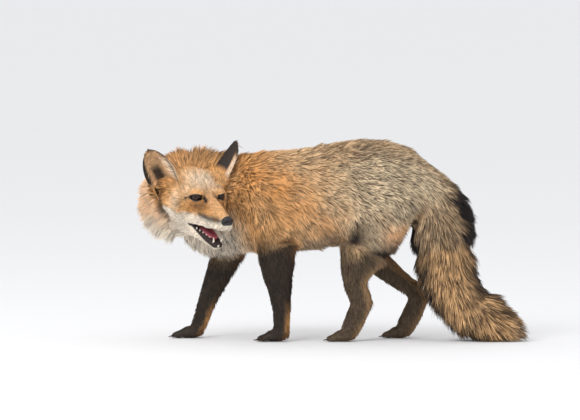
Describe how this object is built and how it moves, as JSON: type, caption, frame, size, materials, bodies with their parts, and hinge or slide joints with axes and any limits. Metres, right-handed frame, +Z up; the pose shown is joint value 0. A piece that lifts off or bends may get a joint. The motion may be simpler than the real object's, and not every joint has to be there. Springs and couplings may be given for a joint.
{
  "type": "red fox",
  "caption": "Life-size still model of a red fox in winter coat, standing in mid step with its head turned back, mouth open and brush on the ground.",
  "frame": {"origin": "on the floor, under the middle of the fox's bounding box", "axes": "+Z up; the fox's chest faces -X and its tail lies towards +X; its left flank faces -Y"},
  "size_m": [0.7996, 0.2872, 0.4151],
  "materials": {
    "coat_red": "soft long orange fur",
    "coat_grizzled": "soft grizzled grey and buff fur",
    "coat_pale": "soft white and cream fur",
    "coat_brindled": "long buff fur with black tips",
    "coat_black": "short black brown fur",
    "nose_leather": "damp pebbled nose skin",
    "mouth_skin": "dark wet lips and gums",
    "tongue": "wet pink tongue",
    "tooth": "ivory tooth enamel",
    "eye": "wet amber brown eye",
    "claw": "dark horn"
  },
  "bodies": {
    "root": {"chest": "coat_red", "loin": "coat_grizzled", "neck": "coat_red", "head": "coat_red", "snout": "coat_red", "lower_jaw": "coat_pale", "tongue": "tongue", "nose": "nose_leather", "eye_left": "eye", "eye_right": "eye", "ear_left": "coat_black", "ear_right": "coat_black", "tail_base": "coat_brindled", "tail_middle": "coat_brindled", "tail_tip": "coat_brindled", "foreleg_left_upper": "coat_red", "foreleg_left_lower": "coat_black", "foreleg_left_paw": "coat_black", "hindleg_left_thigh": "coat_grizzled", "hindleg_left_shank": "coat_black", "hindleg_left_hock": "coat_black", "hindleg_left_paw": "coat_black", "foreleg_left_claw_1": "claw", "foreleg_left_claw_2": "claw", "foreleg_left_claw_3": "claw", "foreleg_left_claw_4": "claw", "hindleg_left_claw_1": "claw", "hindleg_left_claw_2": "claw", "hindleg_left_claw_3": "claw", "hindleg_left_claw_4": "claw", "foreleg_right_upper": "coat_red", "foreleg_right_lower": "coat_black", "foreleg_right_paw": "coat_black", "hindleg_right_thigh": "coat_grizzled", "hindleg_right_shank": "coat_black", "hindleg_right_hock": "coat_black", "hindleg_right_paw": "coat_black", "foreleg_right_claw_1": "claw", "foreleg_right_claw_2": "claw", "foreleg_right_claw_3": "claw", "foreleg_right_claw_4": "claw", "hindleg_right_claw_1": "claw", "hindleg_right_claw_2": "claw", "hindleg_right_claw_3": "claw", "hindleg_right_claw_4": "claw"}
  },
  "joints": []
}
